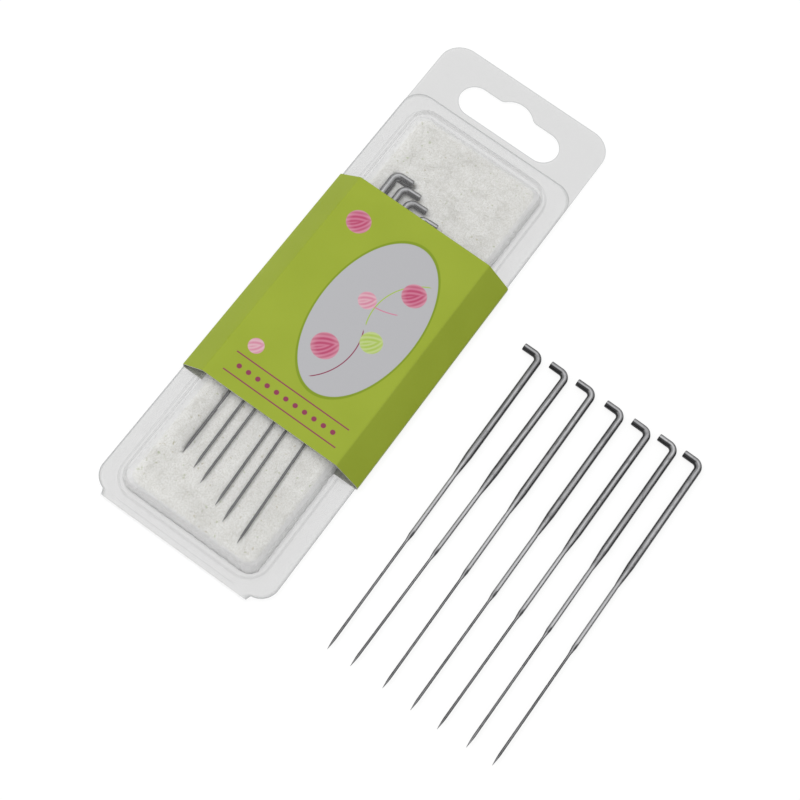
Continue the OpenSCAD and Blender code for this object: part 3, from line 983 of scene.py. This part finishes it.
def makeNeedle(name, index, size):
    # The wire's surface is leant by a turn about its point and moved to where its node lies; a crank that
    # points the other way is mirrored.
    s, a, radius, shankEnd, bend = needleSurface(size)
    local = bendWire(size, s, a, radius, shankEnd, bend)
    tip, lean, towards = needleLie(name)
    if towards > 0:
        local[..., 0] *= -1
    c, d = math.cos(lean), math.sin(lean)
    x = local[..., 0] * c + local[..., 1] * d
    y = -local[..., 0] * d + local[..., 1] * c
    place = np.stack([x, y, local[..., 2]], -1) + tip - packOrigin
    wirePlace = np.stack([radius * np.cos(a), s + 131.7 * index, radius * np.sin(a)], -1) * mm
    middleStart = size["bladeLength"] + size["bladeCone"]
    coneStart = middleStart + size["middleLength"]
    # Dull places: oblique marks of the swaging dies on the long cone, a nick where the blade starts, the
    # blade. The middle of the wire is burnished.
    onCones = 0.35 * np.exp(-(((s - coneStart - 3) / 2.6) ** 2)) * (0.6 + 0.6 * np.sin(s * 2.1 + a))
    nick = np.exp(-(((s - middleStart) / 0.9) ** 4)) * np.exp(-(((a - 1.3) / 0.3) ** 2))
    onBlade = 0.7 * (1 - smoothStep(size["bladeLength"] - 2, size["bladeLength"] + 1, s))
    onMiddle = smoothStep(size["bladeLength"], size["bladeLength"] + 4, s)
    onMiddle = onMiddle * (1 - smoothStep(coneStart - 1, coneStart + 5, s))
    dullAndShade = onCones + onBlade - 0.9 * onMiddle + 2.5 * nick
    # painted shade: the packed needles are darker than the loose ones along the blade and the middle
    if name.startswith("packed"):
        dullAndShade += 0.7 * (1 - smoothStep(42, 58, s))
    # Painted shade on the flanks and, below, on the inside of the bend: none at the crest, darkest a third of
    # the way down, lighter again below
    flank = np.clip(1 - np.sin(a), 0, 2) ** 0.33 * (1.2 - 0.35 * np.clip(-dullAndShade, 0, 0.9))
    flank = flank * (0.55 + 0.45 * smoothStep(-0.2, 0.6, np.sin(a)))
    inBend = smoothStep(shankEnd + 0.4 * bend, shankEnd + bend, s) * smoothStep(0.0, 0.4, -np.cos(a))
    flank = np.maximum(flank, inBend)  # and thick on the inside of the bend
    piece = makePiece(
        name.replace("needle", "wire"),
        place,
        gridFaces(*s.shape, False, True),
        sharpAt=35,
        values={
            "wirePlace": wirePlace.reshape(-1, 3),
            "ground": np.clip(dullAndShade, -0.9, 1.9).ravel(),
            "flank": np.clip(flank, 0, 0.92).ravel(),
        },
    )
    piece.data.materials.append(swagedSteel)
    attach(piece, "pack" if name.startswith("packed") else name)
    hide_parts(name)


needleNames = sorted(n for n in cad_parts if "needle" in n)
for index, name in enumerate(needleNames):
    makeNeedle(name, index, needleSize)
print("needles made:", len(needleNames))


# Pad: a soft slab with rounded edges, sunk under the needles, with loose fibres on top.

padSize = {
    "corner": 2.95,
    "edgeWidth": 1.8,
    "edgeDrop": 0.8,
    "spread": 1.3,  # how far the foot of its sides stands out
    "ragged": 0.1,
    "rows": 330,
    "columns": 110,
    "loft": 0.1,
    "rise": 0.55,  # higher under the thin blades than under the shanks
    "riseFrom": 36.0,
    "riseTo": 60.0,
    "strands": 5200,
    "strandWidth": 0.022,
    "strandLength": (1.5, 5.0),
}


def needlePaths():
    # For each packed needle: its point in the pack's place, its lean and the side its crank points to
    paths = []
    for name in needleNames:
        if name.startswith("packed"):
            tip, lean, towards = needleLie(name)
            paths.append((tip - packOrigin, lean, towards))
    return paths


def wireClearance(x, y, paths, size):
    # For each place: height of the underside of the lowest wire near it, how near the nearest wire is, and
    # how near the sunken one. The distance to a shank is taken square to its line, and to a crank along its
    # short run.
    nearest = np.full(x.shape, 50.0)
    lowest = np.full(x.shape, 50.0)
    sunken = min(tip[2] for tip, _, _ in paths)
    runs = [0, size["bladeLength"], size["bladeCone"], size["middleLength"], size["shankCone"], 100]
    stations = np.cumsum(runs)
    radii = [size["bladeRadius"], size["bladeRadius"], size["middleRadius"], size["middleRadius"]]
    radii += [size["shankRadius"]] * 2
    end = size["length"] - size["shankRadius"]
    for tip, lean, towards in paths:
        c, d = math.cos(lean), math.sin(lean)
        across = (x - tip[0]) * c - (y - tip[1]) * d
        along = (x - tip[0]) * d + (y - tip[1]) * c
        radius = np.interp(along, stations, radii)
        shank = np.hypot(across, np.maximum(np.maximum(-along, along - end), 0))
        crank = np.hypot(
            along - end,
            np.maximum(np.maximum(-across * towards, across * towards - size["crankReach"]), 0),
        )
        onCrank = crank < shank
        gap = np.minimum(shank, crank)
        radius = np.where(onCrank, size["shankRadius"], radius)
        under = tip[2] - np.sqrt(np.maximum(radius**2 - np.minimum(gap, radius) ** 2, 0))
        under = np.where(gap < radius + 0.08, np.minimum(under, tip[2]), 50.0)
        lowest = np.minimum(lowest, under)
        nearest = np.minimum(nearest, gap - radius)
        if tip[2] == sunken:
            toSunken = gap
    return lowest, nearest, toSunken


def padTop(x, y, inset, size, paths):
    # Height of the pad's top: its thickness and a slight unevenness, higher under the blades, lower towards
    # the edge along a quarter of an ellipse, and always below the wires.
    under, near, toSunken = wireClearance(x, y, paths, needleSize)
    cloud = 0.5 + 0.5 * waves(x, y, 11, 9) + 0.2 * waves(x, y, 12, 1.5)
    rise = size["rise"] * (1 - smoothStep(size["riseFrom"], size["riseTo"], y))
    rise = rise * smoothStep(0.4, 2.6, toSunken)
    share = np.clip(1 - inset / size["edgeWidth"], 0, 1)
    drop = (size["edgeDrop"] + rise) * (1 - np.sqrt(np.clip(1 - share**2, 0, 1)))
    top = padHigh[2] + rise - drop + size["loft"] * cloud * smoothStep(0.05, 0.6, near)
    return np.where(under < 40, np.minimum(under - 0.05, top), top), near


def makePad(size):
    # Rows run across the slab and crowd towards its rounded ends, where their width follows the corner's
    # circle. The top is padTop's surface, and the foot is the same outline spread outwards.
    low, high = padLow - packOrigin, padHigh - packOrigin
    r = size["corner"]
    v = np.concatenate([
        low[1] + r * (1 - np.cos(np.linspace(0, math.pi / 2, 14))),
        np.linspace(low[1] + r, high[1] - r, size["rows"])[1:-1],
        high[1] - r * (1 - np.cos(np.linspace(math.pi / 2, 0, 14))),
    ])
    u = np.sin(np.linspace(-math.pi / 2, math.pi / 2, size["columns"])) * 0.35
    u = u + np.linspace(-1, 1, size["columns"]) * 0.65
    toEnd = np.minimum(v - low[1], high[1] - v)
    halfWidth = (high[0] - low[0]) / 2 - r + np.sqrt(np.maximum(r**2 - np.maximum(r - toEnd, 0) ** 2, 0))
    x = (low[0] + high[0]) / 2 + u[None, :] * halfWidth[:, None]
    y = np.broadcast_to(v[:, None], x.shape)
    inset = np.minimum(toEnd[:, None], halfWidth[:, None] * (1 - np.abs(u))[None, :])
    ragged = size["ragged"] * np.exp(-inset / 0.8) * (waves(x, y, 14, 1.6) + 0.6 * waves(x, y, 15, 0.8) - 0.8)
    middle = np.array([(low[0] + high[0]) / 2, (low[1] + high[1]) / 2])
    x = x + ragged * np.clip((x - middle[0]) / (high[0] - middle[0]), -1, 1)
    y = y + ragged * np.clip((y - middle[1]) / (high[1] - middle[1]), -1, 1)
    paths = needlePaths()
    surface = padTop(x, y, inset, size, paths)[0]
    upper = np.stack([x, y, surface], -1)
    footX = x + size["spread"] * (x - middle[0]) / (high[0] - middle[0])
    footY = y + size["spread"] * (y - middle[1]) / (high[1] - middle[1])
    lower = np.stack([footX, footY, np.minimum(padLow[2], surface - 0.2)], -1)
    rows, columns = x.shape
    topFaces = gridFaces(rows, columns)
    count = rows * columns
    bottomFaces = topFaces[:, ::-1] + count
    edgeLoop = np.concatenate([
        np.arange(columns),
        np.arange(1, rows) * columns + columns - 1,
        (rows - 1) * columns + np.arange(columns - 2, -1, -1),
        np.arange(rows - 2, 0, -1) * columns,
    ])
    # Between the rim and the foot of the side: four fifths of the way out, two fifths of the way down
    bulge = upper.reshape(-1, 3)[edgeLoop]
    bulge = bulge + (lower.reshape(-1, 3)[edgeLoop] - bulge) * (0.8, 0.8, 0.4)
    ringIndex = 2 * count + np.arange(len(edgeLoop))
    sideFaces = []
    for over, under in ((edgeLoop, ringIndex), (ringIndex, edgeLoop + count)):
        sideFaces.append(np.stack([over, under, np.roll(under, -1), np.roll(over, -1)], -1))
    # painted light: 1 at the pad's rim and sides, fading out 0.7 mm in
    paintedSideLight = np.concatenate([1 - smoothStep(0, 0.7, inset).ravel(), np.ones(count + len(edgeLoop))])
    piece = makePiece(
        "fleece_pad",
        np.concatenate([upper.reshape(-1, 3), lower.reshape(-1, 3), bulge]),
        np.concatenate([topFaces, bottomFaces, *sideFaces]),
        sharpAt=80,
        values={"side": paintedSideLight},
    )
    piece.data.materials.append(whiteFleece)
    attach(piece, "pack")
    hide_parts("pad")
    return paths


def makeStrands(size, paths):
    # Loose fibres: each is a thin three-sided tube along a short curve whose heading turns evenly, laid on
    # the pad and arched a little. All of them are worked out together as one array.
    draw = np.random.default_rng(31)
    low, high = padLow - packOrigin, padHigh - packOrigin
    count, steps, sides = size["strands"], 7, 3
    startX = draw.uniform(low[0] + 0.5, high[0] - 0.5, count)
    startY = draw.uniform(low[1] + 0.5, high[1] - 0.5, count)
    length = draw.uniform(*size["strandLength"], count)
    heading = draw.uniform(0, math.tau, count)
    curl = draw.normal(0, 0.35, count)
    lift = draw.uniform(0.0, 0.06, count)
    t = np.linspace(0, 1, steps)
    angle = heading[:, None] + curl[:, None] * length[:, None] * (t[None, :] - 0.5)
    stepLength = (length / (steps - 1))[:, None]
    dx, dy = np.cos(angle) * stepLength, np.sin(angle) * stepLength
    x = startX[:, None] + np.cumsum(dx, 1) - dx[:, :1]
    y = startY[:, None] + np.cumsum(dy, 1) - dy[:, :1]
    x = np.clip(x, low[0] - 0.1, high[0] + 0.1)
    y = np.clip(y, low[1] - 0.1, high[1] + 0.1)
    inset = np.minimum.reduce([x - low[0], high[0] - x, y - low[1], high[1] - y])
    z, near = padTop(x, y, np.maximum(inset, 0), size, paths)
    corner = np.hypot(
        np.maximum(np.abs(x - (low[0] + high[0]) / 2) - (high[0] - low[0]) / 2 + size["corner"], 0),
        np.maximum(np.abs(y - (low[1] + high[1]) / 2) - (high[1] - low[1]) / 2 + size["corner"], 0),
    )
    keep = (near.min(1) > 0.25) & (corner.max(1) < size["corner"] + 0.2)
    arch = np.sin(math.pi * t)[None, :] * lift[:, None]
    z = z + arch + 0.01
    x, y, z, angle = x[keep], y[keep], z[keep], angle[keep]
    count = len(x)
    thick = size["strandWidth"] * (0.35 + 0.65 * np.sin(math.pi * np.clip(t, 0.04, 0.96)))
    around = np.arange(sides) * math.tau / sides
    sideways = (np.cos(around) * thick[:, None])[None]
    upwards = (np.sin(around) * thick[:, None])[None]
    place = np.stack([
        x[..., None] - np.sin(angle)[..., None] * sideways,
        y[..., None] + np.cos(angle)[..., None] * sideways,
        z[..., None] + upwards,
    ], -1)
    single = gridFaces(steps, sides, False, True)
    offset = (np.arange(count) * steps * sides)[:, None, None]
    faces = (single[None] + offset).reshape(-1, 4)
    last = (steps - 1) * sides
    caps = np.array([[2, 1, 0], [last, last + 1, last + 2]])
    caps = (caps[None] + offset).reshape(-1, 3)
    piece = makePiece("pad_fibres", place, faces.tolist() + caps.tolist(), sharpAt=80, weld=False)
    piece.data.materials.append(fleeceStrand)
    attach(piece, "pack")


strandPaths = makePad(padSize)
makeStrands(padSize, strandPaths)
print("pad made")


# Sleeve: printed card folded right round the pack.

sleeveSize = {
    "card": 0.3,
    "leftFold": 5.3,
    "rightFold": 42.1,
    "shoulder": 1.62,  # height where the slopes start
    "lowRadius": 0.45,
    "shoulderRadius": 0.6,
    "topRadius": 0.9,
    "edge": 0.04,  # how far its cut edges are eased
    "edgeFlat": 0.06,  # keeps the shading of the flat card flat up to its edge
}

printInk = {
    "field": "#9aab2c",
    "fieldDeep": "#96a728",
    "panel": "#b7b7ba",
    "panelRim": "#7f9410",
    "magenta": "#b23a63",
    "pink": "#cf7d98",
    "palePink": "#dcb3bd",
    "leaf": "#a3bd4b",
    "paleLeaf": "#c0cf8d",
    "line": "#8a3350",
}


def sleeveOutline(size):
    # Outer section of the folded card, anticlockwise from the middle of the back: six corners, each rounded.
    left, right = sleeveLow[0] - packOrigin[0], sleeveHigh[0] - packOrigin[0]
    bottom, top = sleeveLow[2], sleeveHigh[2]
    lean = size["card"] * 0.42  # how far the outer fold lies outside the inner one
    centre = (left + right) / 2
    corners = [
        (centre, bottom),
        (right, bottom),
        (right, size["shoulder"]),
        (size["rightFold"] + lean, top),
        (size["leftFold"] - lean, top),
        (left, size["shoulder"]),
        (left, bottom),
        (centre, bottom),
    ]
    radii = [size["lowRadius"], size["shoulderRadius"], size["topRadius"], size["topRadius"]]
    radii += [size["shoulderRadius"], size["lowRadius"]]
    line = filletedLine(corners, radii, steps=8)
    dense = []
    for a, b in zip(line, line[1:]):
        count = max(1, int(np.linalg.norm(b - a) / 1.5))
        dense.append(a + (b - a) * np.linspace(0, 1, count + 1)[:-1, None])
    return np.concatenate(dense)


def makeSleeve(size, material, boardMaterial):
    # The card's outer section and its lining, one thickness inside, are carried along the pack and joined
    # at both ends. The print runs over the outside on a UV map in millimetres.
    outer = sleeveOutline(size)
    normal = lineNormals(outer, closed=True)
    lining = outer - normal * size["card"]
    step = np.linalg.norm(np.roll(outer, -1, 0) - outer, axis=1)
    run = np.concatenate([[0], np.cumsum(step)[:-1]])
    topFlat = (outer[:, 1] > sleeveHigh[2] - 0.001) & (outer[:, 0] > packWidth / 2)
    middleRun = run[topFlat].max() + outer[topFlat][run[topFlat].argmax(), 0] - packWidth / 2
    # Print coordinate across: 0 at the middle of the top, growing to the right
    printAcross = middleRun - run
    near, far = sleeveLow[1] - packOrigin[1], sleeveHigh[1] - packOrigin[1]
    edge, close = size["edge"], size["edge"] + size["edgeFlat"]
    inner = np.linspace(near, far, 24)[1:-1]
    stations = np.concatenate([[near, near + edge, near + close], inner, [far - close, far - edge, far]])
    rings, uvs = [], []
    for line, away, places in ((outer, -1, stations), (lining, 1, stations[::-1])):
        for k, y in enumerate(places):
            eased = edge if k in (0, len(places) - 1) else 0
            flat = line + normal * (away * eased)
            rings.append(np.stack([flat[:, 0], np.full(len(flat), y), flat[:, 1]], -1))
            uvs.append(np.stack([printAcross, np.full(len(flat), y - near)], -1))
    rings = np.array(rings)
    faces = gridFaces(len(rings), len(outer), True, True)
    row = faces[:, 0] // len(outer)
    outside = row < len(stations) - 1
    piece = makePiece(
        "card_sleeve",
        rings,
        faces,
        sharpAt=50,
        uv=np.concatenate(uvs),
        slots=np.where(outside, 0, 1),
    )
    piece.data.materials.append(material)
    piece.data.materials.append(boardMaterial)
    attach(piece, "sleeve")
    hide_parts("sleeve")


printDesign = {
    "oval": (3.5, 33.0, 12.2, 22.0),  # middle and half axes
    "ovalRim": 1.035,
    "threads": (  # middle and radius of an arc, and the middle and radius of the circle that it is kept to
        (-9.0, 24.0, 14.5, 1.0, 22.0, 8.5, "line"),
        (16.5, 36.0, 13.5, 6.5, 40.0, 9.0, "leaf"),
        (1.0, 52.0, 16.0, 4.0, 37.5, 4.2, "pink"),
    ),
    "threadHalf": 0.13,
    "balls": (  # middle, radius, and deep, light and edge ink
        (-0.6, 21.5, 3.3, "magenta", "pink", "palePink"),
        (8.6, 44.0, 3.0, "magenta", "pink", "palePink"),
        (7.4, 28.5, 2.7, "leaf", "paleLeaf", "paleLeaf"),
        (0.6, 36.5, 2.2, "pink", "palePink", "palePink"),
        (-12.6, 51.5, 3.0, "magenta", "pink", "palePink"),
        (-12.9, 12.0, 1.9, "palePink", "pink", "palePink"),
    ),
    "lines": (3.2, 8.4),
    "lineHalf": 0.16,
    "lineReach": 15.6,
    "dotRow": 5.8,
    "dotPitch": 2.6,
    "dotRadius": 0.62,
    "dotReach": 14.3,
}


def printedCard(ink, design):
    # Coated card, offset printed and varnished: flat ink with a soft gloss. The design is a pale oval with
    # balls of wool, drawn from distances on the piece's own UV map, which is in millimetres: across from
    # the middle of the top, and up from the near edge.
    material, tree = newMaterial("varnishedCard")
    uv = addNode(tree, "UVMap", uv_map="UVMap")
    across, up, _ = addNode(tree, "SeparateXYZ", [uv]).node.outputs

    def distance(a, b):
        # Root of the sum of both squares
        squares = [addNode(tree, "Math", [part, part], operation="MULTIPLY") for part in (a, b)]
        return addNode(tree, "Math", [addNode(tree, "Math", squares, operation="ADD")], operation="SQRT")

    def away(x, y, stretchX=1.0, stretchY=1.0):
        # Distance from a place, with each direction divided by its stretch
        parts = []
        for socket, middle, stretch in ((across, x, stretchX), (up, y, stretchY)):
            offset = addNode(tree, "Math", [socket, middle], operation="SUBTRACT")
            parts.append(addNode(tree, "Math", [offset, stretch], operation="DIVIDE"))
        return distance(*parts)

    def apart(socket, value):
        # How far a socket is from a value, without sign
        gap = addNode(tree, "Math", [socket, value], operation="SUBTRACT")
        return addNode(tree, "Math", [gap], operation="ABSOLUTE")

    def layInk(under, over, *bounds):
        # One colour over another where every distance is less than its edge. A bound is (distance, edge,
        # softness).
        mask = None
        for reach, edge, soft in bounds:
            inside = addNode(
                tree, "MapRange", [reach, edge - soft, edge + soft, 1, 0], interpolation_type="SMOOTHSTEP"
            )
            mask = inside if mask is None else addNode(tree, "Math", [mask, inside], operation="MULTIPLY")
        return addNode(tree, "Mix", {0: mask, 6: under, 7: over}, 2, data_type="RGBA")

    mottle = addNode(tree, "TexNoise", {"Vector": uv, "Scale": 1 / 14, "Detail": 2.0})
    colour = layColours(tree, ink["field"], (mottle, 0.35, 0.65, 1, ink["fieldDeep"]))

    oval = away(*design["oval"])
    colour = layInk(colour, ink["panelRim"], (oval, design["ovalRim"], 0.006))
    colour = layInk(colour, ink["panel"], (oval, 1.0, 0.006))

    # Thread that runs between the balls
    for x, y, radius, limitX, limitY, limit, code in design["threads"]:
        bounds = (apart(away(x, y), radius), design["threadHalf"], 0.07), (away(limitX, limitY), limit, 0.3)
        colour = layInk(colour, ink[code], *bounds)

    # Balls of wool: two sets of windings, one on each side of a slanting line, paler towards the ball's edge
    for x, y, radius, deep, light, edge in design["balls"]:
        windings = []
        for centreX, centreY, pitch in (
            (x - radius * 1.5, y + radius * 0.9, 0.95),
            (x + radius, y - radius * 1.8, 1.1),
        ):
            phase = addNode(tree, "Math", [away(centreX, centreY), math.tau / pitch], operation="MULTIPLY")
            windings.append(addNode(tree, "Math", [phase], operation="SINE"))
        slant = addNode(tree, "Math", [up, across], operation="SUBTRACT")
        upper = addNode(tree, "MapRange", [slant, y - x - 0.4, y - x + 0.4])
        pattern = addNode(tree, "Mix", {0: upper, 2: windings[0], 3: windings[1]})
        share = addNode(tree, "MapRange", [pattern, -0.8, 0.9, 0.1, 0.85])
        reach = away(x, y)
        edging = (reach, radius * 0.6, radius, 0.35, ink[edge])
        wool = layColours(tree, ink[deep], (share, 0, 1, 1, ink[light]), edging)
        colour = layInk(colour, wool, (reach, radius, 0.12))

    # A row of dots between two fine lines, near the lower edge
    for row in design["lines"]:
        bounds = (apart(up, row), design["lineHalf"], 0.06), (apart(across, 0), design["lineReach"], 0.1)
        colour = layInk(colour, ink["line"], *bounds)
    cell = addNode(tree, "Math", [across, design["dotReach"]], operation="ADD")
    cell = addNode(tree, "Math", [cell, design["dotPitch"]], operation="FLOORED_MODULO")
    dot = distance(apart(cell, design["dotPitch"] / 2), apart(up, design["dotRow"]))
    bounds = (dot, design["dotRadius"], 0.08), (apart(across, 0), design["dotReach"], 0.05)
    colour = layInk(colour, ink["line"], *bounds)

    place = addNode(tree, "TexCoord", output="Object")
    grain = addNode(tree, "TexNoise", {"Vector": place, "Scale": 1 / (0.5 * mm), "Detail": 3.0})
    rough = addNode(tree, "MapRange", [grain, 0.3, 0.7, 0.34, 0.46])
    bump = addNode(tree, "Bump", {"Height": grain, "Strength": 0.12, "Distance": 0.03 * mm})
    card = addNode(
        tree,
        "BsdfPrincipled",
        {"Base Color": colour, "Roughness": rough, "IOR": 1.5, "Specular IOR Level": 0.4, "Normal": bump},
    )
    addNode(tree, "OutputMaterial", [card])
    return material


def rawBoard():
    # Uncoated grey-white back of the card: matt, with a mottle of paper fibres 0.6 mm across
    material, tree = newMaterial("uncoatedBoard")
    place = addNode(tree, "TexCoord", output="Object")
    fibre = addNode(tree, "TexNoise", {"Vector": place, "Scale": 1 / (0.6 * mm), "Detail": 5.0})
    colour = layColours(tree, "#f0f1e6", (fibre, 0.35, 0.65, 1, "#e4e6d6"))
    bump = addNode(tree, "Bump", {"Height": fibre, "Strength": 0.3, "Distance": 0.03 * mm})
    board = addNode(tree, "BsdfPrincipled", {"Base Color": colour, "Roughness": 0.85, "Normal": bump})
    addNode(tree, "OutputMaterial", [board])
    return material


makeSleeve(sleeveSize, printedCard(printInk, printDesign), rawBoard())
print("sleeve made")
